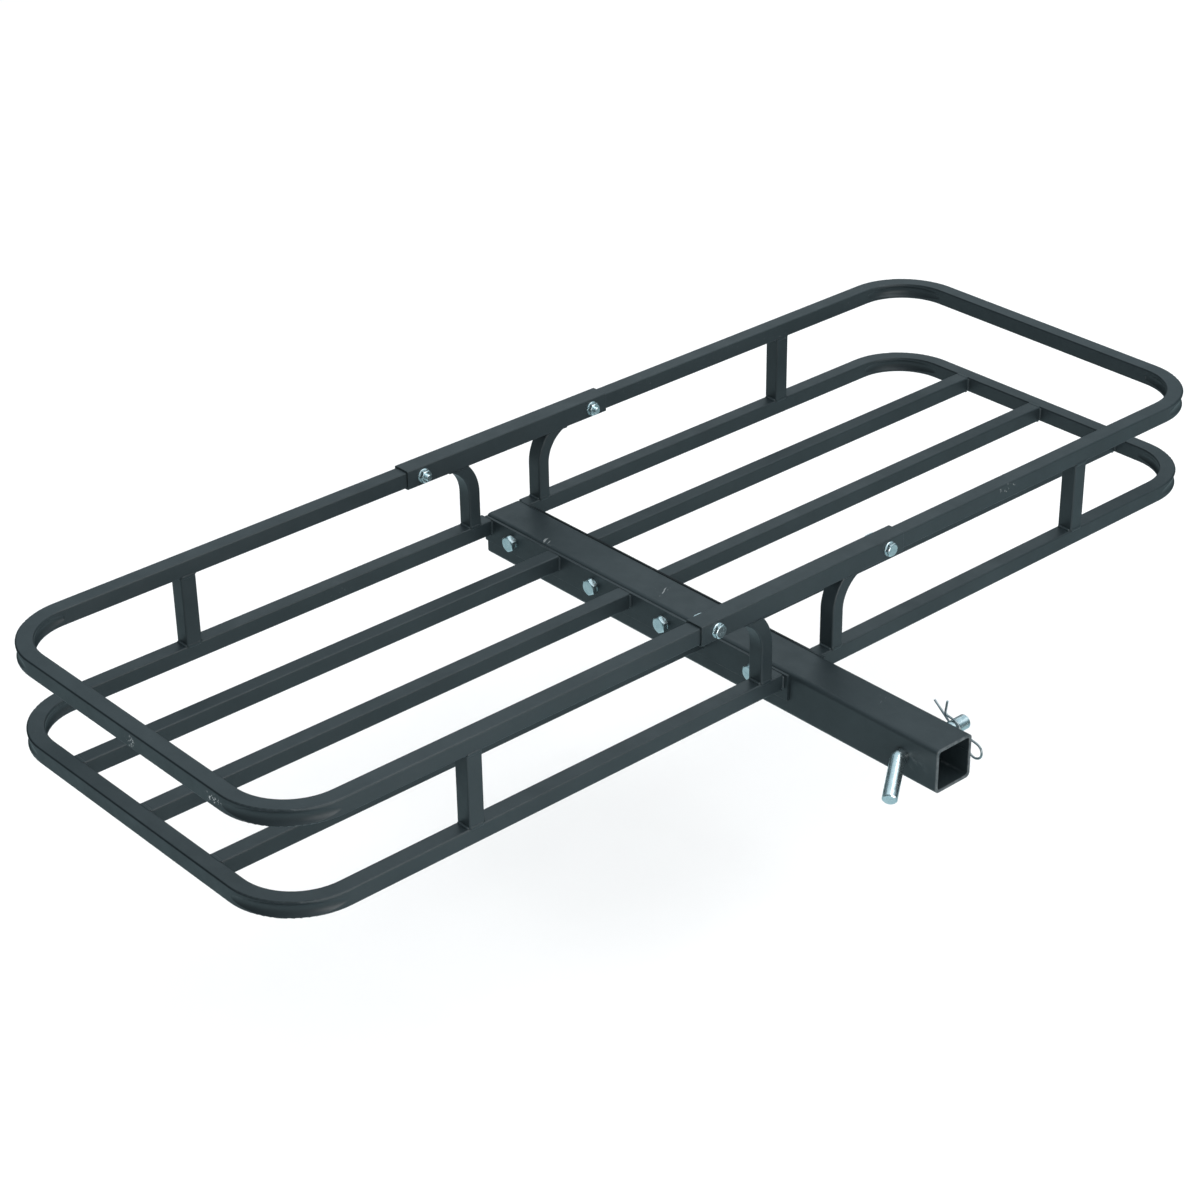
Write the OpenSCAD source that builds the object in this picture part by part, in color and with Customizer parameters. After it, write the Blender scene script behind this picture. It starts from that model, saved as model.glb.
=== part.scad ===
// Hitch cargo carrier: a bolt-together basket on a square receiver shank.
// X runs along the basket, +Y points away from the vehicle, +Z is up.
// The origin is the centre of the shank on the axis of its hitch pin.

/* [Basket] */
// Overall length of the basket
basket_length = 1346; // [1100:1:1500]
// Overall width of the basket, front rail to rear rail
basket_width = 489; // [400:1:560]
// Height from the top of the deck to the top of the upper rails
side_height = 101.6; // [95:0.1:150]
// Distance from the hitch pin to the front face of the basket
rail_reach = 166; // [120:0.5:300]
// Straight deck bars between the outer rails of each half
deck_bars = 3; // [3]
// Distance of each post from the middle of the basket
post_offset = 440; // [250:1:460]

/* [Rail tube] */
// Outside size of the square tube of rails, bars and posts
rail_size = 19.05; // [18:0.05:22]
// Wall of the rail tube
rail_wall = 1.5; // [1.2:0.1:2]
// Outside corner radius of the rail tube
rail_corner = 1.8; // [1.6:0.1:3]
// Radius of the rail bends, measured to the middle of the tube
bend_radius = 72; // [60:1:90]
// Greatest depth of the dish that bending leaves in the outer wall of a bend
bend_dish = 3.4; // [2:0.1:4]
// Greatest depth of the hollow that bending leaves in the inner wall of a bend
bend_hollow = 3; // [1:0.1:3.2]

/* [Shank] */
// Outside size of the square shank tube
shank_size = 50.8; // [48:0.1:51]
// Wall of the shank tube
shank_wall = 3.2; // [2.5:0.1:5]
// Outside corner radius of the shank tube
shank_corner = 5; // [4:0.1:8]
// Distance from the hitch pin to the open end of the shank
pin_to_mouth = 46; // [42:0.5:80]
// Thickness of the side plates
plate_thick = 3.2; // [3:0.1:5]
// Height of the side plates
plate_height = 30; // [28:0.5:34]
// How far the side plates sit below the top of the shank
plate_drop = 2; // [1:0.5:4]
// How far plates and shank are shifted towards the vehicle from the basket
plate_shift = 6.5; // [4:0.5:8]

/* [Sleeves and legs] */
// Outside size of the square sleeve tube
sleeve_size = 23; // [23:0.1:26]
// Wall of the sleeve and leg tube
sleeve_wall = 1.5; // [1.2:0.1:1.5]
// Length of each sleeve
sleeve_length = 294; // [270:1:320]
// Width of the curved legs along the basket
leg_width = 16; // [14:0.5:18]
// Distance between the two legs under one sleeve
leg_gap = 88; // [80:1:92]
// Inside radius of the leg bend
leg_bend = 40; // [30:1:44]

/* [Hardware] */
// Thread diameter of the frame bolts
frame_bolt = 10; // [8:1:10]
// Distance of the inner frame bolts from the middle of the side plates
inner_bolt_offset = 57; // [50:1:62]
// Distance of the outer frame bolts from the middle of the side plates
outer_bolt_offset = 195.5; // [188:0.5:200]
// Thread diameter of the rail bolts
rail_bolt = 8; // [6:1:8]
// Distance of the rail bolts from the middle of the basket
rail_bolt_offset = 125; // [118:1:128]
// Diameter of the hitch pin
pin_diameter = 15.88; // [15.8:0.02:16]
// Distance from the shank's centre to the clip hole in the pin
clip_offset = 50.5; // [45:0.5:58]
// Distance from the shank's centre to the free end of the pin
pin_end = 69; // [68:0.5:95]
// Wire diameter of the clip
clip_wire = 2.4; // [2:0.1:3]

/* [Hidden] */
$fn = 48;

// Places along the shank
basket_y = rail_reach + basket_width / 2;
shank_rear = basket_y + basket_width / 2 - plate_shift;
plate_front = basket_y - plate_shift - basket_width / 2;
bar_pitch = (basket_width - rail_size) / (deck_bars + 1);

// Heights
plate_top = shank_size / 2 - plate_drop;
plate_middle_z = plate_top - plate_height / 2;
plate_lip = 0.5;
deck_top = plate_top - plate_lip;
lower_middle = deck_top - rail_size / 2;
upper_middle = deck_top + side_height - rail_size / 2;
sleeve_bottom = upper_middle - sleeve_size / 2;

// Places along the basket
plate_face = shank_size / 2 + plate_thick;
half_length = basket_length / 2;
side_line = basket_width / 2 - rail_size / 2;
end_line = half_length - rail_size / 2;
bend_x = end_line - bend_radius;
bend_y = side_line - bend_radius;
upper_gap = 12;
leg_sweep = 80;
leg_overrun = 1.5;
leg_drop = leg_bend - leg_overrun;
plate_middle_y = basket_y - plate_shift;

// Marks left in the walls of the rail bends
dish_round = 11;
dish_stop = 1;
dish_out = (bend_dish + dish_stop) / (sqrt(2) - 1);
dish_radius = bend_radius + rail_size / 2 + dish_out + dish_stop + dish_round;
hollow_round = 9;
hollow_edge = 0.7;
hollow_out = (bend_hollow - hollow_edge) / (sqrt(2) - 1);

// Fasteners
bolt_play = 0.5;
thread_play = 0.1;
lock_washer_thick = 2.6;
lock_washer_ratio = 1.8;
lock_washer_cut = 1.2;
head_height = 0.64;
nut_height = 0.8;
wrench_ratio = 1.7;
corner_height = 0.8;
corner_top = 0.92;
flange_thick = 1.6;
flange_ratio = 2.1;
flange_top_ratio = 2;
bolt_stick_out = 4;
frame_bolt_ys = [-outer_bolt_offset, -inner_bolt_offset, inner_bolt_offset, outer_bolt_offset];

// A straight round piece starts this far inside a bend of the same bar, this much thinner,
// so that the two overlap without sharing a face
joint_overlap = 0.3;
joint_step = 0.04;

// How far a cutter stands out of what it cuts
cutter_margin = 1;

// Hitch pin
pin_fit = 0.08;
pin_bend = 10.6;
pin_bend_angle = 38.5;
pin_turn = 59;
pin_stand_off = 2.2;
pin_start = shank_size / 2 + pin_stand_off;
pin_handle = 52;
pin_chamfer = 1.2;
clip_hole_play = 0.12;
clip_hole = clip_wire + clip_hole_play;
clip_sink = 7;

// Spring clip, drawn in its own plane: u along its straight leg, v across it
clip_tilt = 39;
clip_tip = 34;
clip_slope = 29;
clip_loop = 8.8;
clip_step = 2;
clip_valley = 5;
clip_play = 0.1;
clip_hump = pin_diameter / 2 + clip_wire / 2 + clip_play;
clip_drop_angle = 60;
clip_gap = 0.3;
clip_waist = 3.7;
clip_flare = 59;
clip_flare_length = 12.3;

// ---- Profiles and tubes ----

// Filled rectangle with round corners, centred
module rounded_rectangle(width, height, radius) {
    square([width - 2 * radius, height], center = true);
    square([width, height - 2 * radius], center = true);
    for (x = [-1, 1], y = [-1, 1])
        translate([x * (width / 2 - radius), y * (height / 2 - radius)])
            circle(radius);
}

// Wall of a rectangular tube, centred
module tube_wall(width, height, wall, radius) {
    difference() {
        rounded_rectangle(width, height, radius);
        rounded_rectangle(width - 2 * wall, height - 2 * wall, radius - wall / 2);
    }
}

// Rectangular tube along X, from one end to the other
module tube_along_x(from, to, width, height, wall, radius) {
    translate([from, 0, 0])
        rotate([90, 0, 90])
            linear_extrude(to - from)
                tube_wall(width, height, wall, radius);
}

// Outline of the rail, or of its bore when given the wall
module rail_outline(wall) {
    rounded_rectangle(rail_size - 2 * wall, rail_size - 2 * wall, rail_corner - wall / 2);
}

// A quarter bend of the rail, or of its bore when given the wall. The rings that press in its outer
// and inner walls stand off the centre of the bend, so that their marks run out towards its ends.
module bend_volume(wall) {
    difference() {
        rotate_extrude(angle = 90, $fn = 96)
            translate([bend_radius, 0])
                rail_outline(wall);
        translate([-dish_out, -dish_out, 0])
            rotate_extrude($fn = 96)
                translate([dish_radius, 0])
                    circle(dish_round + wall);
        translate([hollow_out, hollow_out, 0])
            rotate_extrude($fn = 96)
                translate([bend_radius - rail_size / 2 + hollow_edge - hollow_out - hollow_round, 0])
                    circle(hollow_round + wall);
    }
}

// Right-hand U rail, from inner_x round the end and back, about its own middle
module right_u_rail(inner_x) {
    for (side = [-1, 1]) {
        translate([0, side * side_line, 0])
            tube_along_x(inner_x, bend_x, rail_size, rail_size, rail_wall, rail_corner);
        translate([bend_x, side * bend_y, 0])
            mirror([0, side > 0 ? 0 : 1, 0])
                difference() {
                    bend_volume(0);
                    bend_volume(rail_wall);
                }
    }
    translate([end_line, bend_y, 0])
        rotate([90, 0, 0])
            linear_extrude(2 * bend_y)
                tube_wall(rail_size, rail_size, rail_wall, rail_corner);
}

// Places its children for the right half, or mirrored for the left half
module half(side) {
    translate([0, basket_y, 0])
        mirror([side == "left" ? 1 : 0, 0, 0])
            children();
}

// ---- Shank and plates ----

module shank_tube() {
    color("#2b2f30")
    difference() {
        translate([0, shank_rear, 0])
            rotate([90, 0, 0])
                linear_extrude(shank_rear + pin_to_mouth)
                    tube_wall(shank_size, shank_size, shank_wall, shank_corner);
        rotate([0, 90, 0])
            cylinder(h = 2 * shank_size, d = pin_diameter + 2 * pin_fit, center = true);
        frame_bolt_places()
            cylinder(h = 2 * shank_size, d = frame_bolt + 2 * bolt_play, center = true);
    }
}

// Turns its children so that their Z axis runs along +X through each frame bolt
module frame_bolt_places() {
    for (y = frame_bolt_ys)
        translate([0, plate_middle_y + y, plate_middle_z])
            rotate([0, 90, 0])
                children();
}

module side_plate(side) {
    color("#2b2f30")
    difference() {
        translate([side == "left" ? -plate_face : shank_size / 2, plate_front, plate_top - plate_height])
            cube([plate_thick, basket_width, plate_height]);
        frame_bolt_places()
            cylinder(h = 3 * shank_size, d = frame_bolt + 2 * bolt_play, center = true);
    }
}

// ---- Rails, bars and posts ----

module lower_rail(side) {
    color("#2b2f30")
    half(side)
        translate([0, 0, lower_middle])
            right_u_rail(plate_face);
}

module deck_bar(side, place) {
    color("#2b2f30")
    half(side)
        translate([0, place * bar_pitch, lower_middle])
            tube_along_x(plate_face, half_length - rail_size, rail_size, rail_size, rail_wall, rail_corner);
}

module upper_rail(side) {
    color("#2b2f30")
    half(side)
        difference() {
            translate([0, 0, upper_middle])
                right_u_rail(upper_gap);
            rail_bolt_holes();
        }
}

module post(side, row) {
    color("#2b2f30")
    half(side)
        translate([post_offset, row * side_line, deck_top])
            linear_extrude(side_height - rail_size)
                tube_wall(rail_size, rail_size, rail_wall, rail_corner);
}

// ---- Sleeves and legs ----

// Turns its children so that their Z axis runs inwards through each rail bolt
module rail_bolt_places() {
    for (x = [-1, 1], row = [-1, 1])
        translate([x * rail_bolt_offset, row * side_line, upper_middle])
            rotate([row * 90, 0, 0])
                children();
}

module rail_bolt_holes() {
    rail_bolt_places()
        cylinder(h = 2 * sleeve_size, d = rail_bolt + 2 * bolt_play, center = true);
}

module sleeve(row) {
    color("#2b2f30")
    half("right")
        difference() {
            translate([0, row * side_line, upper_middle])
                tube_along_x(-sleeve_length / 2, sleeve_length / 2, sleeve_size, sleeve_size, sleeve_wall,
                             rail_corner);
            rail_bolt_holes();
        }
}

module leg(side, row) {
    middle_radius = leg_bend + leg_width / 2;
    bend_start = sleeve_bottom - leg_drop;
    color("#2b2f30")
    half(side)
        translate([leg_gap / 2 + leg_width / 2, row * side_line, 0])
            difference() {
                union() {
                    translate([0, 0, deck_top])
                        linear_extrude(bend_start - deck_top)
                            tube_wall(leg_width, rail_size, sleeve_wall, rail_corner);
                    translate([middle_radius, 0, bend_start])
                        mirror([1, 0, 0])
                            rotate([90, 0, 0])
                                rotate_extrude(angle = leg_sweep, $fn = 96)
                                    translate([middle_radius, 0])
                                        tube_wall(leg_width, rail_size, sleeve_wall, rail_corner);
                }
                translate([-leg_width, -rail_size, sleeve_bottom])
                    cube([4 * middle_radius, 2 * rail_size, leg_bend]);
            }
}

// ---- Fasteners ----

// Hexagon with its corners turned off on the upper side
module hexagon(across_flats, height) {
    intersection() {
        cylinder(h = height, d = across_flats / cos(30), $fn = 6);
        union() {
            cylinder(h = corner_height * height, d = 2 * across_flats);
            translate([0, 0, corner_height * height])
                cylinder(
                    h = (1 - corner_height) * height,
                    d1 = across_flats / cos(30), d2 = corner_top * across_flats
                );
        }
    }
}

// Bolt shank with a short point, along +Z from the seat of its head
module bolt_shank(diameter, length) {
    point = diameter / 10;
    cylinder(h = length - point, d = diameter);
    translate([0, 0, length - point])
        cylinder(h = point, d1 = diameter, d2 = diameter - 2 * point);
}

module frame_bolts() {
    seat = plate_face + lock_washer_thick;
    color("#c8d2d4")
    frame_bolt_places()
        translate([0, 0, -seat]) {
            bolt_shank(frame_bolt, seat + plate_face + nut_height * frame_bolt + bolt_stick_out);
            mirror([0, 0, 1])
                hexagon(wrench_ratio * frame_bolt, head_height * frame_bolt);
        }
}

// Spring washer with its cut, one under each frame bolt head
module frame_lock_washers() {
    outside = lock_washer_ratio * frame_bolt;
    color("#b9c3c6")
    frame_bolt_places()
        translate([0, 0, -plate_face - lock_washer_thick])
            difference() {
                cylinder(h = lock_washer_thick, d = outside);
                translate([0, 0, -cutter_margin])
                    cylinder(h = lock_washer_thick + 2 * cutter_margin, d = frame_bolt + bolt_play);
                rotate([20, 0, 0])
                    translate([outside / 2, 0, 0])
                        cube([outside, lock_washer_cut, 4 * lock_washer_thick], center = true);
            }
}

module frame_nuts() {
    color("#c8d2d4")
    frame_bolt_places()
        translate([0, 0, plate_face])
            difference() {
                hexagon(wrench_ratio * frame_bolt, nut_height * frame_bolt);
                translate([0, 0, -cutter_margin])
                    cylinder(h = 2 * frame_bolt, d = frame_bolt + thread_play);
            }
}

// Round flange under a hexagon, standing on its seat
module flanged_hexagon(diameter, height) {
    flange = flange_ratio * diameter;
    cylinder(h = flange_thick / 2, d = flange);
    translate([0, 0, flange_thick / 2])
        cylinder(h = flange_thick / 2, d1 = flange, d2 = flange_top_ratio * diameter);
    hexagon(wrench_ratio * diameter, height);
}

module rail_bolts() {
    seat = sleeve_size / 2;
    color("#c8d2d4")
    half("right")
        rail_bolt_places()
            translate([0, 0, -seat]) {
                bolt_shank(rail_bolt, sleeve_size + nut_height * rail_bolt + bolt_stick_out);
                mirror([0, 0, 1])
                    flanged_hexagon(rail_bolt, flange_thick / 2 + head_height * rail_bolt);
            }
}

module rail_nuts() {
    color("#c8d2d4")
    half("right")
        rail_bolt_places()
            translate([0, 0, sleeve_size / 2])
                difference() {
                    flanged_hexagon(rail_bolt, nut_height * rail_bolt);
                    translate([0, 0, -cutter_margin])
                        cylinder(h = 2 * rail_bolt, d = rail_bolt + thread_play);
                }
}

// ---- Hitch pin and clip ----

// Round bar along +Z with a chamfer at its far end
module chamfered_bar(length, diameter, chamfer) {
    cylinder(h = length - chamfer, d = diameter);
    translate([0, 0, length - chamfer])
        cylinder(h = chamfer, d1 = diameter, d2 = diameter - 2 * chamfer);
}

// Pin along X with its handle bent off to one side, turned up towards the vehicle from straight down
module hitch_pin() {
    color("#c8d2d4")
    difference() {
        union() {
            translate([-pin_start - joint_overlap, 0, 0])
                rotate([0, 90, 0])
                    chamfered_bar(joint_overlap + pin_start + pin_end, pin_diameter, pin_chamfer);
            rotate([-pin_turn, 0, 0])
                translate([-pin_start, 0, -pin_bend])
                    rotate([0, -90, 0])
                        rotate([90, 0, 0])
                            pin_handle_shape();
        }
        translate([clip_offset, 0, 0])
            rotate([clip_tilt - 90, 0, 0]) {
                cylinder(h = 2 * pin_diameter, d = clip_hole, center = true);
                for (end = [0, 1])
                    mirror([0, 0, end])
                        translate([0, 0, pin_diameter / 2 - clip_sink / 4])
                            cylinder(h = clip_sink / 2, d1 = clip_hole, d2 = clip_hole + clip_sink);
            }
    }
}

// Bend of the pin about the origin, starting on +X, and the handle beyond it
module pin_handle_shape() {
    rotate_extrude(angle = pin_bend_angle, $fn = 96)
        translate([pin_bend, 0])
            circle(d = pin_diameter + joint_step);
    rotate([0, 0, pin_bend_angle])
        translate([pin_bend, -joint_overlap, 0])
            rotate([-90, 0, 0])
                chamfered_bar(pin_handle, pin_diameter, pin_chamfer);
}

// Straight piece of clip wire from one (u, v) point, at an angle to u
module wire_line(from, angle, length) {
    translate(from)
        rotate([0, 0, angle])
            rotate([0, 90, 0])
                translate([0, 0, -joint_overlap])
                    cylinder(h = length + 2 * joint_overlap, d = clip_wire - joint_step, $fn = 20);
}

// Curved piece of clip wire about a (u, v) point, from one angle over a sweep
module wire_arc(middle, radius, from, sweep) {
    translate(middle)
        rotate([0, 0, from])
            rotate_extrude(angle = sweep, $fn = 64)
                translate([radius, 0])
                    circle(d = clip_wire, $fn = 20);
}

module clip_wire_shape() {
    slope = clip_slope;
    hump_start = clip_hump * [-sin(slope), cos(slope)];
    hump_foot = hump_start - clip_step * [cos(slope), sin(slope)];
    valley = hump_foot + clip_valley * [-sin(slope), cos(slope)];
    valley_start = valley - clip_valley * [sin(slope), cos(slope)];
    loop_exit_v = clip_loop + clip_loop * cos(slope);
    run = (loop_exit_v - valley_start[1]) / sin(slope);
    loop_exit = valley_start + run * [-cos(slope), sin(slope)];
    loop = [loop_exit[0] - clip_loop * sin(slope), clip_loop];
    drop = clip_drop_angle;
    hump_end = clip_hump * [cos(drop), sin(drop)];
    waist_v = clip_wire + clip_gap + clip_waist;
    waist_start_v = waist_v - clip_waist * sin(drop);
    fall = (hump_end[1] - waist_start_v) / cos(drop);
    waist = [hump_end[0] + fall * sin(drop) + clip_waist * cos(drop), waist_v];
    flare_start = waist + clip_waist * [sin(clip_flare), -cos(clip_flare)];

    wire_line([loop[0], 0], 0, clip_tip - loop[0]);
    wire_arc(loop, clip_loop, 90 - slope, 180 + slope);
    wire_line(loop_exit, -slope, run);
    wire_arc(valley, clip_valley, -90 - slope, 2 * slope);
    wire_line(hump_foot, slope, clip_step);
    wire_arc([0, 0], clip_hump, drop, 90 + slope - drop);
    wire_line(hump_end, drop - 90, fall);
    wire_arc(waist, clip_waist, 180 + drop, 90 - drop + clip_flare);
    wire_line(flare_start, clip_flare, clip_flare_length);
}

module pin_clip() {
    color("#c8d2d4")
    translate([clip_offset, 0, 0])
        rotate([clip_tilt, 0, 0])
            rotate([90, 0, 90])
                clip_wire_shape();
}

shank_tube();
side_plate("left");  // left_side_plate
side_plate("right");  // right_side_plate
lower_rail("left");  // left_lower_rail
lower_rail("right");  // right_lower_rail
deck_bar("left", -1);  // left_front_deck_bar
deck_bar("left", 0);  // left_centre_deck_bar
deck_bar("left", 1);  // left_rear_deck_bar
deck_bar("right", -1);  // right_front_deck_bar
deck_bar("right", 0);  // right_centre_deck_bar
deck_bar("right", 1);  // right_rear_deck_bar
upper_rail("left");  // left_upper_rail
upper_rail("right");  // right_upper_rail
post("left", -1);  // left_front_post
post("left", 1);  // left_rear_post
post("right", -1);  // right_front_post
post("right", 1);  // right_rear_post
sleeve(-1);  // front_sleeve
sleeve(1);  // rear_sleeve
leg("left", -1);  // left_front_leg
leg("left", 1);  // left_rear_leg
leg("right", -1);  // right_front_leg
leg("right", 1);  // right_rear_leg
frame_bolts();
frame_lock_washers();
frame_nuts();
rail_bolts();
rail_nuts();
hitch_pin();
pin_clip();
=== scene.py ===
"""Hitch cargo carrier: finishes, weld beads, threads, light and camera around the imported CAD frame."""
import math
import random

import bpy
from mathutils import Matrix, Vector


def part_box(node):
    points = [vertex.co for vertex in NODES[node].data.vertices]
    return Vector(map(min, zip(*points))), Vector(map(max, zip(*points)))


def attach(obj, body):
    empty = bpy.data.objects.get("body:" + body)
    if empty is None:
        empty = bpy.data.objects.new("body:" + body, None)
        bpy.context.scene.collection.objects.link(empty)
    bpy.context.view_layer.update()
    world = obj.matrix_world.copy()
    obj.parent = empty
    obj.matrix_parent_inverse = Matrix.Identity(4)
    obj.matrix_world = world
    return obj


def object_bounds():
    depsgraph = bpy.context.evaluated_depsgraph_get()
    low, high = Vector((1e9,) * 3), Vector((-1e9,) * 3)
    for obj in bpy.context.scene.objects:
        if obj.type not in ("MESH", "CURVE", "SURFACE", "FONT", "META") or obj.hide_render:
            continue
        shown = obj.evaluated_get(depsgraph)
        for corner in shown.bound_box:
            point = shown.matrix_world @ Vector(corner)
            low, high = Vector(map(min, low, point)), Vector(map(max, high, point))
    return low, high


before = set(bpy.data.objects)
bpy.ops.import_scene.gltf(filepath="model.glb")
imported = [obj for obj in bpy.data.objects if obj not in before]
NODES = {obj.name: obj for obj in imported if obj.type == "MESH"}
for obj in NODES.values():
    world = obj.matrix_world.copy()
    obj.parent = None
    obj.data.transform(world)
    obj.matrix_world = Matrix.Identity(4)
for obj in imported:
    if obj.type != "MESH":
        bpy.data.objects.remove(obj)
cad_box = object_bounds()
MM = 0.001
X = Vector((1, 0, 0))
Y = Vector((0, 1, 0))
Z = Vector((0, 0, 1))


def edges_of(node):
    """A node's lowest and highest corners."""
    low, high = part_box(node)
    return Vector(low), Vector(high)


SHANK_LOW, SHANK_HIGH = edges_of("shank_tube")
PLATE_LOW, PLATE_HIGH = edges_of("right_side_plate")
RAIL_LOW, RAIL_HIGH = edges_of("right_lower_rail")
UPPER_LOW, UPPER_HIGH = edges_of("right_upper_rail")
SLEEVE_LOW, SLEEVE_HIGH = edges_of("front_sleeve")
BASKET_Y = (RAIL_LOW.y + RAIL_HIGH.y) / 2


# ---- Node-tree helpers ----

class Shader:
    """A material's node tree, with short calls for the nodes used here."""

    def __init__(self, name):
        self.material = bpy.data.materials.new(name)
        self.material.use_nodes = True
        self.tree = self.material.node_tree
        self.principled = self.tree.nodes["Principled BSDF"]
        self.position = self.tree.nodes.new("ShaderNodeTexCoord").outputs["Object"]

    def link(self, value, socket):
        if isinstance(value, bpy.types.NodeSocket):
            self.tree.links.new(value, socket)
        else:
            socket.default_value = value

    def placed(self, center, size, turn=(0, 0, 0)):
        """The position seen from center, along turned axes, in units of size."""
        node = self.tree.nodes.new("ShaderNodeMapping")
        node.vector_type = "TEXTURE"
        node.inputs["Location"].default_value = center
        node.inputs["Rotation"].default_value = turn
        node.inputs["Scale"].default_value = size
        self.link(self.position, node.inputs["Vector"])
        return node.outputs["Vector"]

    def stretched(self, scale, turn=(0, 0, 0)):
        """The position for a pattern that runs faster along each turned axis by its scale."""
        return self.placed((0, 0, 0), [1 / s for s in scale], turn)

    def noise(self, scale, detail=3.0, roughness=0.5, vector=None, seed=0.0):
        node = self.tree.nodes.new("ShaderNodeTexNoise")
        node.noise_dimensions = "4D"
        node.inputs["W"].default_value = seed
        node.inputs["Scale"].default_value = scale
        node.inputs["Detail"].default_value = detail
        node.inputs["Roughness"].default_value = roughness
        self.link(vector or self.position, node.inputs["Vector"])
        return node.outputs["Fac"]

    def spread(self, value, low, high, to_low=0.0, to_high=1.0):
        """value from low..high mapped to to_low..to_high, held at the ends."""
        node = self.tree.nodes.new("ShaderNodeMapRange")
        node.inputs["From Min"].default_value = low
        node.inputs["From Max"].default_value = high
        node.inputs["To Min"].default_value = to_low
        node.inputs["To Max"].default_value = to_high
        self.link(value, node.inputs["Value"])
        return node.outputs["Result"]

    def math(self, operation, a, b=0.0):
        node = self.tree.nodes.new("ShaderNodeMath")
        node.operation = operation
        self.link(a, node.inputs[0])
        self.link(b, node.inputs[1])
        return node.outputs["Value"]

    def times(self, first, *others):
        for other in others:
            first = self.math("MULTIPLY", first, other)
        return first

    def mix(self, factor, a, b):
        node = self.tree.nodes.new("ShaderNodeMix")
        node.data_type = "RGBA"
        self.link(factor, node.inputs[0])
        self.link(a, node.inputs[6])
        self.link(b, node.inputs[7])
        return node.outputs[2]

    def bump(self, height, strength, distance, normal=None):
        node = self.tree.nodes.new("ShaderNodeBump")
        node.inputs["Strength"].default_value = strength
        node.inputs["Distance"].default_value = distance
        self.link(height, node.inputs["Height"])
        if normal:
            self.link(normal, node.inputs["Normal"])
        return node.outputs["Normal"]

    def soft_edges(self, radius):
        node = self.tree.nodes.new("ShaderNodeBevel")
        node.samples = 6
        node.inputs["Radius"].default_value = radius
        return node.outputs["Normal"]

    def edge_mask(self, radius, low, high):
        """1 on outside edges within radius, 0 on flats: the rounded normal leaves the true one there."""
        geometry = self.tree.nodes.new("ShaderNodeNewGeometry")
        dot = self.tree.nodes.new("ShaderNodeVectorMath")
        dot.operation = "DOT_PRODUCT"
        self.link(self.soft_edges(radius), dot.inputs[0])
        self.link(geometry.outputs["Normal"], dot.inputs[1])
        return self.spread(dot.outputs["Value"], high, low)

    def near(self, center, size, sharp=0.6, turn=(0, 0, 0)):
        """1 inside an ellipsoid of these half sizes, falling to 0 at its surface."""
        length = self.tree.nodes.new("ShaderNodeVectorMath")
        length.operation = "LENGTH"
        self.link(self.placed(center, size, turn), length.inputs[0])
        return self.spread(length.outputs["Value"], 1.0, sharp)

    def finish(self, color, roughness, metallic, normal, specular=0.5):
        inputs = self.principled.inputs
        self.link(color, inputs["Base Color"])
        self.link(roughness, inputs["Roughness"])
        self.link(metallic, inputs["Metallic"])
        self.link(normal, inputs["Normal"])
        self.link(specular, inputs["Specular IOR Level"])
        return self.material


# ---- Finishes ----

COAT_DARK = (0.0105, 0.0175, 0.0205, 1)
COAT_LIGHT = (0.0150, 0.0230, 0.0265, 1)
COAT_DUST = (0.038, 0.046, 0.049, 1)
# near-black mixed into the coat as painted shade beside the right plate, as a painted dark reflection along
# the end rails' edges, and as a darker ring round the cross hole
COAT_NEAR_BLACK = (0.005, 0.007, 0.008, 1)
COAT_RUBBED = (0.20, 0.215, 0.22, 1)
COAT_SCRATCHED = (0.62, 0.66, 0.67, 1)
ZINC_GREY = (0.56, 0.66, 0.68, 1)
ZINC_BRIGHT = (0.78, 0.84, 0.85, 1)
ZINC_STAIN = (0.26, 0.31, 0.32, 1)
WIRE_DARK = (0.20, 0.23, 0.24, 1)
WIRE_LIGHT = (0.40, 0.44, 0.45, 1)


def coat_base(s):
    """Blotched satin black with fine pale dust, and thin rubs in a few patches."""
    base = s.mix(s.spread(s.noise(9.0, 4.0, 0.6, seed=1.0), 0.35, 0.65), COAT_DARK, COAT_LIGHT)
    dust = s.spread(s.noise(900.0, 2.0, 0.6, seed=2.0), 0.60, 0.75)
    base = s.mix(s.times(dust, 0.30), base, COAT_DUST)
    streaks = s.noise(60.0, 3.0, 0.7, s.stretched((1.0, 14.0, 6.0), (0.0, 0.0, 0.5)), seed=3.0)
    patches = s.spread(s.noise(7.0, 2.0, 0.5, seed=4.0), 0.63, 0.70)
    rubs = s.times(s.spread(streaks, 0.62, 0.70), patches)
    return s.mix(s.times(rubs, 0.45), base, COAT_RUBBED), rubs


def coat_normal(s, edge_radius, peel_strength):
    """Rounded edges under orange peel and slow waves."""
    peel = s.noise(420.0, 2.0, 0.5, seed=7.0)
    normal = s.bump(peel, peel_strength, 0.25 * MM, s.soft_edges(edge_radius))
    return s.bump(s.noise(38.0, 2.0, 0.5, seed=8.0), 0.10, 0.8 * MM, normal)


def coat_roughness(s, rubs):
    rough = s.spread(s.noise(35.0, 4.0, 0.65, seed=6.0), 0.3, 0.7, 0.36, 0.50)
    return s.math("ADD", rough, s.times(rubs, 0.12))


def worn_edges(s, base, amount):
    patches = s.spread(s.noise(55.0, 4.0, 0.7, seed=5.0), 0.52, 0.66)
    worn = s.times(s.edge_mask(0.9 * MM, 0.90, 0.985), patches)
    return s.mix(s.times(worn, amount), base, COAT_RUBBED)


def marks(s, center, size, pattern, low, high, turn=(0, 0, 0)):
    """Where a pattern is above low..high, but only near one place."""
    return s.times(s.near(center, size, turn=turn), s.spread(pattern, low, high))


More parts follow.
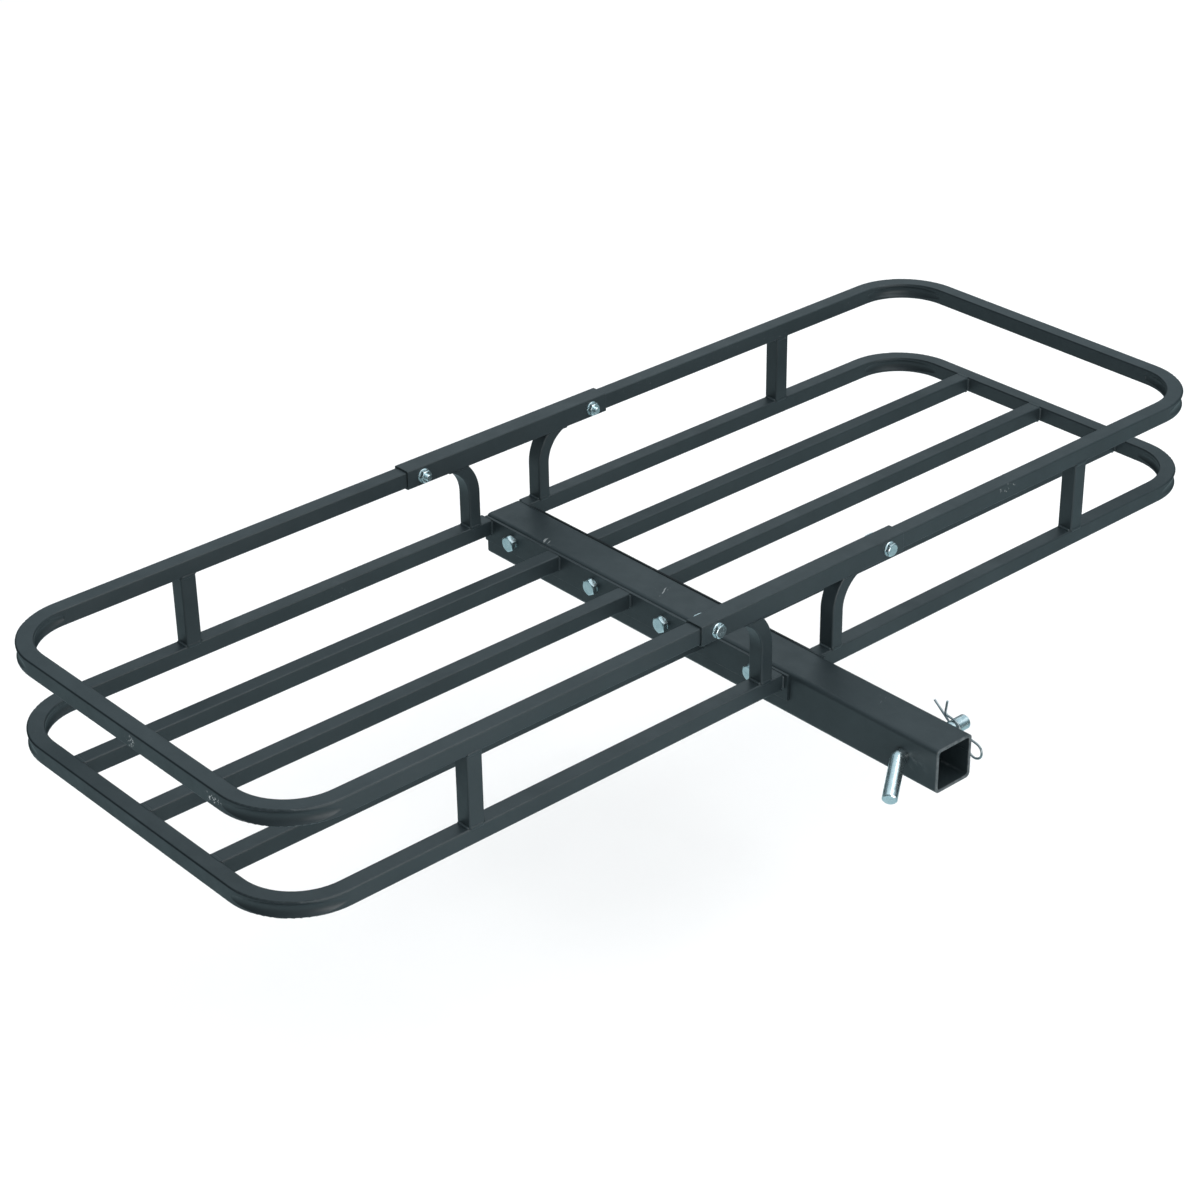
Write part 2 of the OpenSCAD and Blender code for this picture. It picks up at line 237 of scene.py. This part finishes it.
def painted_edge_reflection(s):
    """1 along the rounded edges of the two end rails, where a dark reflection is painted into the coat."""
    place = s.tree.nodes.new("ShaderNodeSeparateXYZ")
    s.link(s.position, place.inputs[0])
    geometry = s.tree.nodes.new("ShaderNodeNewGeometry")
    facing = s.tree.nodes.new("ShaderNodeSeparateXYZ")
    s.link(geometry.outputs["Normal"], facing.inputs[0])
    slant = s.times(4.0, facing.outputs["X"], facing.outputs["X"], facing.outputs["Z"], facing.outputs["Z"])
    along = s.spread(s.math("ABSOLUTE", place.outputs["X"]), UPPER_HIGH.x - 80 * MM, UPPER_HIGH.x - 40 * MM)
    return s.times(slant, along)


def rail_coat():
    """Coat of rails, bars, posts, sleeves and legs, with the few bare scratches the basket has."""
    s = Shader("rail_powder_coat")
    base, rubs = coat_base(s)
    base = worn_edges(s, base, 0.30)
    along_bend = (0.0, 0.0, 0.82)
    hair = s.noise(300.0, 2.0, 0.7, s.stretched((1.0, 0.2, 1.0), along_bend), seed=31.0)
    chips = s.noise(420.0, 2.0, 0.5, seed=32.0)
    front = (SLEEVE_LOW.y + SLEEVE_HIGH.y) / 2
    left_bend = (-UPPER_HIGH.x + 38 * MM, front + 36 * MM, UPPER_HIGH.z)
    bare = marks(s, left_bend, (3 * MM, 13 * MM, 4 * MM), hair, 0.48, 0.54, along_bend)
    chipped_places = [
        ((-UPPER_HIGH.x, front + 82 * MM, UPPER_HIGH.z - 10 * MM), (4 * MM, 15 * MM, 7 * MM), 0.60),
        ((-UPPER_HIGH.x, front + 219 * MM, UPPER_HIGH.z - 10 * MM), (4 * MM, 9 * MM, 7 * MM), 0.58),
        ((UPPER_HIGH.x - 359 * MM, SLEEVE_LOW.y + 2 * MM, UPPER_LOW.z + 14 * MM),
         (16 * MM, 4 * MM, 6 * MM), 0.64),
    ]
    for place, size, low in chipped_places:
        bare = s.math("MAXIMUM", bare, marks(s, place, size, chips, low, low + 0.04))
    base = s.mix(s.times(bare, 0.75), base, COAT_SCRATCHED)
    # painted reflection: the end rails' rounded edges are mixed towards near-black and made less specular,
    # standing in for the dark room they reflect
    edges = painted_edge_reflection(s)
    base = s.mix(s.times(edges, 0.7), base, COAT_NEAR_BLACK)
    specular = s.math("SUBTRACT", 0.5, s.times(edges, 0.38))
    return s.finish(base, coat_roughness(s, rubs), 0.0, coat_normal(s, 0.7 * MM, 0.20), specular)


def shank_coat():
    """Coat of shank and plates: bare at the cut mouth, rubbed round the pin, scratched on top."""
    s = Shader("shank_powder_coat")
    base, rubs = coat_base(s)
    base = worn_edges(s, base, 0.35)

    lip = s.near((0, SHANK_LOW.y, 0), (90 * MM, 1.6 * MM, 90 * MM), 0.3)
    bare = s.times(lip, s.spread(s.noise(130.0, 3.0, 0.6, seed=41.0), 0.36, 0.60, 0.25, 1.0))
    base = s.mix(s.times(bare, 0.30), base, COAT_RUBBED)

    # where the pin's handle has rubbed the left wall
    smudge = s.near((SHANK_LOW.x, -20 * MM, 0), (3 * MM, 18 * MM, 13 * MM), 0.1)
    smears = s.noise(90.0, 4.0, 0.7, s.stretched((1.0, 1.0, 3.0), (0.5, 0.0, 0.0)), seed=42.0)
    base = s.mix(s.times(smudge, s.spread(smears, 0.50, 0.70), 0.30), base, COAT_RUBBED)

    # darker ring painted round the cross hole, mixed towards near-black
    rim = s.near((SHANK_LOW.x, 0, 0), (3 * MM, 11.5 * MM, 11.5 * MM), 0.75)
    base = s.mix(s.times(rim, 0.75), base, COAT_NEAR_BLACK)

    # the right plate's top edge and the narrow gap beside it lie in the shank's shade
    middle = (PLATE_LOW.y + PLATE_HIGH.y) / 2
    half_plate = (PLATE_HIGH.y - PLATE_LOW.y) / 2
    edge_x = (PLATE_LOW.x + PLATE_HIGH.x) / 2
    shade = s.near((edge_x, middle, PLATE_HIGH.z), (3.6 * MM, 1.02 * half_plate, 2.5 * MM), 0.8)
    base = s.mix(s.times(shade, 0.95), base, COAT_NEAR_BLACK)

    hair = s.noise(260.0, 2.0, 0.6, s.stretched((0.18, 1.0, 1.0), (0.0, 0.0, 0.45)), seed=43.0)
    front_place = (-9 * MM, middle - 31 * MM, SHANK_HIGH.z)
    front = marks(s, front_place, (26 * MM, 16 * MM, 3 * MM), hair, 0.63, 0.67)
    rear_place = (-18 * MM, middle + 150 * MM, SHANK_HIGH.z)
    rear = marks(s, rear_place, (6 * MM, 24 * MM, 4 * MM), hair, 0.60, 0.64)
    base = s.mix(s.times(s.math("MAXIMUM", front, rear), 0.30), base, COAT_SCRATCHED)
    specular = s.math("SUBTRACT", 0.5, s.times(shade, 0.4))
    return s.finish(base, coat_roughness(s, rubs), 0.0, coat_normal(s, 0.8 * MM, 0.22), specular)


def weld_coat():
    """The same coat over weld beads, fuller and lumpier."""
    s = Shader("weld_powder_coat")
    base, _ = coat_base(s)
    normal = s.bump(s.noise(700.0, 3.0, 0.6, seed=51.0), 0.35, 0.25 * MM)
    normal = s.bump(s.noise(190.0, 2.0, 0.5, seed=52.0), 0.35, 0.5 * MM, normal)
    return s.finish(base, s.spread(s.noise(90.0, seed=53.0), 0.3, 0.7, 0.30, 0.44), 0.0, normal)


def zinc_plate():
    """Bright zinc plating: slightly cyan, with a cloudy spangle, drawing lines and dull spots."""
    s = Shader("zinc_plated_steel")
    clouds = s.spread(s.noise(160.0, 4.0, 0.6, seed=11.0), 0.3, 0.7)
    base = s.mix(clouds, ZINC_GREY, ZINC_BRIGHT)
    stains = s.spread(s.noise(320.0, 3.0, 0.7, seed=12.0), 0.60, 0.74)
    base = s.mix(s.times(stains, 0.40), base, ZINC_STAIN)
    rough = s.spread(s.noise(240.0, 4.0, 0.6, seed=13.0), 0.3, 0.7, 0.17, 0.32)
    lines = s.noise(900.0, 3.0, 0.6, s.stretched((0.08, 1.0, 1.0)), seed=14.0)
    normal = s.bump(lines, 0.10, 0.06 * MM, s.soft_edges(0.3 * MM))
    return s.finish(base, rough, 1.0, normal)


def spring_wire():
    """Drawn spring wire under thin zinc: darker than the pin, with lines and rubbed spots."""
    s = Shader("zinc_plated_wire")
    clouds = s.spread(s.noise(260.0, 4.0, 0.6, seed=15.0), 0.3, 0.7)
    base = s.mix(clouds, WIRE_DARK, WIRE_LIGHT)
    rubbed = s.spread(s.noise(90.0, 2.0, 0.5, seed=16.0), 0.60, 0.68)
    base = s.mix(s.times(rubbed, 0.5), base, ZINC_GREY)
    rough = s.spread(s.noise(400.0, 3.0, 0.6, seed=17.0), 0.3, 0.7, 0.24, 0.42)
    return s.finish(base, rough, 1.0, s.bump(s.noise(1400.0, 2.0, 0.5, seed=18.0), 0.15, 0.05 * MM))


RAIL_COAT = rail_coat()
SHANK_COAT = shank_coat()
WELD_COAT = weld_coat()
ZINC = zinc_plate()
WIRE = spring_wire()

for name, obj in NODES.items():
    if name == "pin_clip":
        finish = WIRE
    elif name.endswith(("bolts", "washers", "nuts", "pin")):
        finish = ZINC
    elif name.startswith("shank") or name.endswith("plate"):
        finish = SHANK_COAT
    else:
        finish = RAIL_COAT
    obj.data.materials.clear()
    obj.data.materials.append(finish)


# ---- Mesh helpers ----

def add_piece(name, body, material, vertices, faces):
    mesh = bpy.data.meshes.new(name)
    mesh.from_pydata([tuple(v) for v in vertices], [], faces)
    mesh.validate()
    mesh.shade_smooth()
    mesh.materials.append(material)
    piece = bpy.data.objects.new(name, mesh)
    bpy.context.scene.collection.objects.link(piece)
    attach(piece, body)
    return piece


class Beads:
    """Weld beads of one joint in one mesh: rippled, slightly uneven and rounded at both ends."""
    PITCH = 1.5 * MM
    RIPPLE = 0.16
    SWELL = 0.10
    STEPS_PER_RIPPLE = 6
    FEWEST_RINGS = 8
    SLOW_WAVES = 5
    # how far the middle of a ripple runs ahead of its sides, in pitches
    RIPPLE_LEAD = 0.8
    RIPPLE_SHARPNESS = 0.6
    # length of the rounded end and size of its tip, in parts of the full section
    END_LENGTH = 0.9
    TIP_SIZE = 0.15
    # how far the back of the section sinks into the joint
    ROOT_DEPTH = 0.06
    ACROSS = 9

    def __init__(self, seed):
        self.vertices = []
        self.faces = []
        self.random = random.Random(seed)

    def run(self, start, end, offsets):
        """A bead from start to end. offsets is its section: points off the joint line, face to face."""
        along = end - start
        length = along.length
        along.normalize()
        rings = max(self.FEWEST_RINGS, int(self.STEPS_PER_RIPPLE * length / self.PITCH))
        reach = max(o.length for o in offsets)
        shift = self.random.random()
        slow = [self.random.uniform(-1, 1) for _ in range(self.SLOW_WAVES)]
        first = len(self.vertices)
        across = len(offsets)
        for ring in range(rings + 1):
            place = ring / rings
            distance = place * length
            to_end = min(distance, length - distance) / (self.END_LENGTH * reach)
            taper = math.sqrt(max(0.0, 1 - (1 - min(1.0, to_end)) ** 2))
            swell = sum(a * math.sin((k + 1) * math.pi * place + 2 * k) for k, a in enumerate(slow))
            swell *= self.SWELL / len(slow)
            for k, offset in enumerate(offsets):
                bow = math.sin(math.pi * k / (across - 1))
                phase = (distance + self.RIPPLE_LEAD * self.PITCH * bow) / self.PITCH + shift
                ripple = abs(math.sin(math.pi * phase)) ** self.RIPPLE_SHARPNESS
                end_size = self.TIP_SIZE + (1 - self.TIP_SIZE) * taper
                size = (1 - self.RIPPLE + self.RIPPLE * ripple * bow + swell) * end_size
                self.vertices.append(start + along * distance + offset * size)
            root = sum(offsets, Vector()) * (-self.ROOT_DEPTH / across)
            self.vertices.append(start + along * distance + root)
        loop = across + 1
        for ring in range(rings):
            for k in range(loop):
                a = first + ring * loop + k
                b = first + ring * loop + (k + 1) % loop
                self.faces.append((a, b, b + loop, a + loop))
        self.faces.append(tuple(first + k for k in reversed(range(loop))))
        self.faces.append(tuple(first + rings * loop + k for k in range(loop)))

    def fillet(self, start, end, side_a, side_b, leg):
        """A bead in the corner between a face running off along side_a and one running off along side_b."""
        corner = math.acos(side_a.dot(side_b))
        offsets = []
        for k in range(self.ACROSS):
            # the section runs a little into both faces
            angle = corner * (k / (self.ACROSS - 1) * 1.16 - 0.08)
            to_a = math.sin(corner - angle) / math.sin(corner)
            to_b = math.sin(angle) / math.sin(corner)
            direction = (side_a * to_a + side_b * to_b).normalized()
            offsets.append(direction * leg * (0.45 + 0.55 * min(1.0, 1 / (to_a + to_b))))
        self.run(start, end, offsets)

    def seam(self, start, end, side, out, width, height):
        """A low bead along a butt joint in one flat face that looks along out."""
        offsets = []
        for k in range(self.ACROSS):
            angle = math.pi * k / (self.ACROSS - 1)
            offsets.append(side * width * math.cos(angle) + out * (height * math.sin(angle) - 0.05 * MM))
        self.run(start, end, offsets)

    def piece(self, name):
        return add_piece(name, "carrier", WELD_COAT, self.vertices, self.faces)


# ---- Weld beads ----

BEAD = 2.6 * MM
LEG_TOP_BEAD = 1.8 * MM
SEAM_WIDTH = 2.4 * MM
SEAM_HEIGHT = 0.55 * MM
CORNER_KEEP = 1.2 * MM
SHANK_WALL = 3.2 * MM


def point(x, y, z):
    return Vector((x, y, z))


def butt_on_wall(beads, wall_x, outwards, low, high, top_seam, sides=(-1, 1)):
    """Beads round a bar's end where it meets a wall square to X; outwards points from wall to bar."""
    away = X * outwards
    z_from, z_to = low.z + CORNER_KEEP, high.z - CORNER_KEEP
    y_from, y_to = low.y + CORNER_KEEP, high.y - CORNER_KEEP
    for side in sides:
        y = high.y if side > 0 else low.y
        beads.fillet(point(wall_x, y, z_from), point(wall_x, y, z_to), away, Y * side, BEAD)
    beads.fillet(point(wall_x, y_from, low.z), point(wall_x, y_to, low.z), away, -Z, BEAD)
    if top_seam:
        start, end = point(wall_x, y_from, high.z), point(wall_x, y_to, high.z)
        beads.seam(start, end, X, Z, SEAM_WIDTH, SEAM_HEIGHT)


def upright_on_rail(beads, low, high, z, up):
    """Beads round the end of an upright as deep as its rail; up is 1 at its foot and -1 at its head."""
    for side in (-1, 1):
        x = high.x if side > 0 else low.x
        y_from, y_to = low.y + CORNER_KEEP, high.y - CORNER_KEEP
        beads.fillet(point(x, y_from, z), point(x, y_to, z), Z * up, X * side, BEAD)
        y = high.y if side > 0 else low.y
        x_from, x_to = low.x + CORNER_KEEP, high.x - CORNER_KEEP
        beads.seam(point(x_from, y, z), point(x_to, y, z), Z, Y * side, SEAM_WIDTH, SEAM_HEIGHT)


def weld_deck_bars():
    seed = 100
    for half in ("left", "right"):
        for place in ("front", "centre", "rear"):
            name = f"{half}_{place}_deck_bar"
            low, high = edges_of(name)
            sign = 1 if half == "right" else -1
            inner, outer = (low.x, high.x) if sign > 0 else (high.x, low.x)
            beads = Beads(seed)
            butt_on_wall(beads, inner, sign, low, high, False)
            butt_on_wall(beads, outer, -sign, low, high, True)
            beads.piece(f"welds_{name}")
            seed += 1


def weld_rail_ends():
    seed = 200
    size = RAIL_HIGH.z - RAIL_LOW.z
    for half in ("left", "right"):
        sign = 1 if half == "right" else -1
        low, high = edges_of(f"{half}_lower_rail")
        inner = low.x if sign > 0 else high.x
        beads = Beads(seed)
        front_high = point(0, low.y + size, high.z)
        butt_on_wall(beads, inner, sign, point(0, low.y, low.z), front_high, False)
        rear_low = point(0, high.y - size, low.z)
        butt_on_wall(beads, inner, sign, rear_low, point(0, PLATE_HIGH.y, high.z), False, sides=(-1,))
        beads.piece(f"welds_{half}_lower_rail")
        seed += 1


def weld_uprights():
    seed = 300
    for half in ("left", "right"):
        for row in ("front", "rear"):
            low, high = edges_of(f"{half}_{row}_post")
            beads = Beads(seed)
            upright_on_rail(beads, low, high, low.z, 1)
            upright_on_rail(beads, low, high, high.z, -1)
            beads.piece(f"welds_{half}_{row}_post")
            weld_leg(half, row, seed + 50)
            seed += 1


LEG_WIDTH = 16 * MM
LEG_HEAD_LENGTH = 29.9 * MM


def weld_leg(half, row, seed):
    """A leg's foot on its rail, and its slanted head under the sleeve."""
    low, high = edges_of(f"{half}_{row}_leg")
    sign = 1 if half == "right" else -1
    inner_x = low.x if sign > 0 else high.x
    foot_low = point(min(inner_x, inner_x + sign * LEG_WIDTH), low.y, low.z)
    foot_high = point(max(inner_x, inner_x + sign * LEG_WIDTH), high.y, high.z)
    beads = Beads(seed)
    upright_on_rail(beads, foot_low, foot_high, low.z, 1)

    # the head: the leg's outer wall meets the sleeve at a steep slope, its inner wall at a shallow one
    head_x = high.x if sign > 0 else low.x
    near_x = head_x - sign * LEG_HEAD_LENGTH
    outer_slope = (Z * -0.73 - X * sign * 0.69).normalized()
    y_from, y_to = low.y + CORNER_KEEP, high.y - CORNER_KEEP
    beads.fillet(point(near_x, y_from, high.z), point(near_x, y_to, high.z), outer_slope, X * -sign, BEAD)
    for side in (-1, 1):
        y = high.y if side > 0 else low.y
        start = point(near_x + sign * CORNER_KEEP, y, high.z)
        end = point(head_x - sign * CORNER_KEEP, y, high.z)
        beads.fillet(start, end, -Z, Y * side, LEG_TOP_BEAD)
    beads.piece(f"welds_{half}_{row}_leg")


def shank_seam():
    """The rolled tube's own weld, a low ridge inside the shank's right wall, open at the pin's hole."""
    x = SHANK_HIGH.x - SHANK_WALL
    z = 6 * MM
    beads = Beads(400)
    for y_from, y_to in ((SHANK_LOW.y + 0.5 * MM, -10 * MM), (10 * MM, 170 * MM)):
        beads.seam(point(x, y_from, z), point(x, y_to, z), Z, -X, 1.6 * MM, 0.5 * MM)
    beads.piece("shank_inner_seam")


# ---- Bolt threads ----

THREAD_SHOWN = 3.3 * MM
THREAD_SECTION = [(-0.42, -0.25 * MM), (-0.10, 0.10 * MM), (0.10, 0.10 * MM), (0.42, -0.25 * MM)]
THREAD_STEPS_PER_TURN = 28
THREAD_FADE_STEPS = 8
NUT_REACH = 30 * MM


def thread(center, axis, radius, pitch):
    """Turns of thread round a bolt end that starts at center and runs along axis."""
    side = axis.orthogonal().normalized()
    other = axis.cross(side)
    per_turn = THREAD_STEPS_PER_TURN
    steps = int((THREAD_SHOWN / pitch - 0.8) * per_turn)
    corners = len(THREAD_SECTION)
    vertices = []
    faces = []
    for step in range(steps + 1):
        angle = 2 * math.pi * step / per_turn
        rise = (0.4 + step / per_turn) * pitch
        fade = min(1.0, step / THREAD_FADE_STEPS, (steps - step) / THREAD_FADE_STEPS)
        out = side * math.cos(angle) + other * math.sin(angle)
        for shift, height in THREAD_SECTION:
            reach = radius + height * fade - 0.3 * MM * (1 - fade)
            vertices.append(center + axis * (rise + shift * pitch) + out * reach)
        if step:
            for k in range(corners - 1):
                a = corners * (step - 1) + k
                faces.append((a, a + 1, a + corners + 1, a + corners))
    return vertices, faces


def nut_ends(node, axis_of):
    """The far face of every nut in a node, as (center, axis); nuts stand well apart from each other."""
    nuts = []
    for vertex in NODES[node].data.vertices:
        for points in nuts:
            if (points[0] - vertex.co).length < NUT_REACH:
                points.append(vertex.co)
                break
        else:
            nuts.append([vertex.co])
    ends = []
    for points in nuts:
        low = Vector(min(p[i] for p in points) for i in range(3))
        high = Vector(max(p[i] for p in points) for i in range(3))
        middle = (low + high) / 2
        axis = axis_of(middle)
        ends.append((middle + axis * abs((high - low).dot(axis)) / 2, axis))
    return ends


def add_threads(name, nuts, axis_of, radius, pitch):
    vertices = []
    faces = []
    for center, axis in nut_ends(nuts, axis_of):
        more, more_faces = thread(center, axis, radius, pitch)
        faces.extend(tuple(i + len(vertices) for i in f) for f in more_faces)
        vertices.extend(more)
    add_piece(name, "carrier", ZINC, vertices, faces)


def along_shank(middle):
    """Rail bolts point at the middle of the basket."""
    return Y if middle.y < BASKET_Y else -Y


weld_deck_bars()
weld_rail_ends()
weld_uprights()
shank_seam()
add_threads("frame_bolt_threads", "frame_nuts", lambda middle: X, 5 * MM, 1.5 * MM)
add_threads("rail_bolt_threads", "rail_nuts", along_shank, 4 * MM, 1.25 * MM)


# ---- Studio ----

FLOOR_SIZE = 30.0
FLOOR_DROP = 0.30
STUDIO_Y = 0.4


def studio_floor():
    """A plain pale floor, well below the carrier."""
    low, _ = cad_box
    bpy.ops.mesh.primitive_plane_add(size=FLOOR_SIZE, location=(0.0, STUDIO_Y, low[2] - FLOOR_DROP))
    floor = bpy.context.object
    floor.name = "studio_floor"
    s = Shader("studio_floor")
    tone = s.spread(s.noise(3.0, 3.0, 0.5, seed=21.0), 0.3, 0.7, 0.93, 0.96)
    grain = s.noise(400.0, 2.0, 0.5, seed=22.0)
    s.finish(tone, 0.9, 0.0, s.bump(grain, 0.02, 0.2 * MM))
    floor.data.materials.append(s.material)
    floor.visible_glossy = False


def area_light(name, place, target, size, power):
    data = bpy.data.lights.new(name, "AREA")
    data.shape = "RECTANGLE"
    data.size, data.size_y = size
    data.energy = power
    light = bpy.data.objects.new(name, data)
    light.location = place
    light.rotation_euler = (Vector(target) - Vector(place)).to_track_quat("-Z", "Y").to_euler()
    light.visible_camera = False
    bpy.context.scene.collection.objects.link(light)


def studio_world():
    """Even light on matt surfaces; glossy ones see a cool room with a bright ceiling and dark walls."""
    world = bpy.data.worlds.new("studio_world")
    bpy.context.scene.world = world
    world.use_nodes = True
    nodes = world.node_tree.nodes
    link = world.node_tree.links.new
    split = nodes.new("ShaderNodeSeparateXYZ")
    link(nodes.new("ShaderNodeTexCoord").outputs["Generated"], split.inputs[0])
    height = nodes.new("ShaderNodeMapRange")
    height.inputs["From Min"].default_value = -1.0
    height.inputs["From Max"].default_value = 1.0
    link(split.outputs["Z"], height.inputs["Value"])
    ramp = nodes.new("ShaderNodeValToRGB")
    stops = [(0.0, (0.51, 0.70, 0.76)), (0.25, (0.39, 0.54, 0.58)), (0.47, (0.08, 0.12, 0.13)),
             (0.60, (0.12, 0.18, 0.20)), (0.75, (0.30, 0.45, 0.52)), (1.0, (0.86, 1.04, 1.12))]
    while len(ramp.color_ramp.elements) < len(stops):
        ramp.color_ramp.elements.new(0.5)
    for element, (place, color) in zip(ramp.color_ramp.elements, stops):
        element.position = place
        element.color = (*color, 1)
    link(height.outputs["Result"], ramp.inputs["Fac"])
    mix = nodes.new("ShaderNodeMix")
    mix.data_type = "RGBA"
    mix.inputs[6].default_value = (0.95, 0.97, 0.98, 1)
    link(nodes.new("ShaderNodeLightPath").outputs["Is Glossy Ray"], mix.inputs[0])
    link(ramp.outputs["Color"], mix.inputs[7])
    link(mix.outputs[2], nodes["Background"].inputs["Color"])


def studio_lights():
    middle = (0.0, STUDIO_Y, 0.0)
    area_light("key_light", (0.6, -1.2, 3.0), middle, (3.0, 3.0), 50.0)
    area_light("front_light", (-0.2, -1.5, 0.15), (0.1, 0.3, 0.05), (1.8, 0.7), 16.0)
    area_light("back_light", (2.2, 3.0, 2.0), middle, (3.0, 2.0), 8.0)


def camera():
    """The camera stands off the hitch mouth's left side and looks down on the basket."""
    right = Vector((0.74799983, -0.66350564, -0.01601639))
    up = Vector((0.34085441, 0.36333033, 0.8670694))
    place = Vector((-1.82731, -1.58800, 1.53010))
    focal_per_side = 2818.2 / 1200.0
    data = bpy.data.cameras.new("camera")
    data.sensor_fit = "HORIZONTAL"
    data.sensor_width = 36.0
    data.lens = 36.0 * focal_per_side
    data.shift_x, data.shift_y = 0.01303, 0.01655
    data.clip_start = 0.05
    data.clip_end = 60.0
    obj = bpy.data.objects.new("camera", data)
    rotation = Matrix((right, up, right.cross(up))).transposed()
    obj.matrix_world = Matrix.Translation(place) @ rotation.to_4x4()
    bpy.context.scene.collection.objects.link(obj)
    bpy.context.scene.camera = obj


studio_floor()
studio_world()
studio_lights()
camera()
bpy.context.scene.view_settings.view_transform = "Standard"
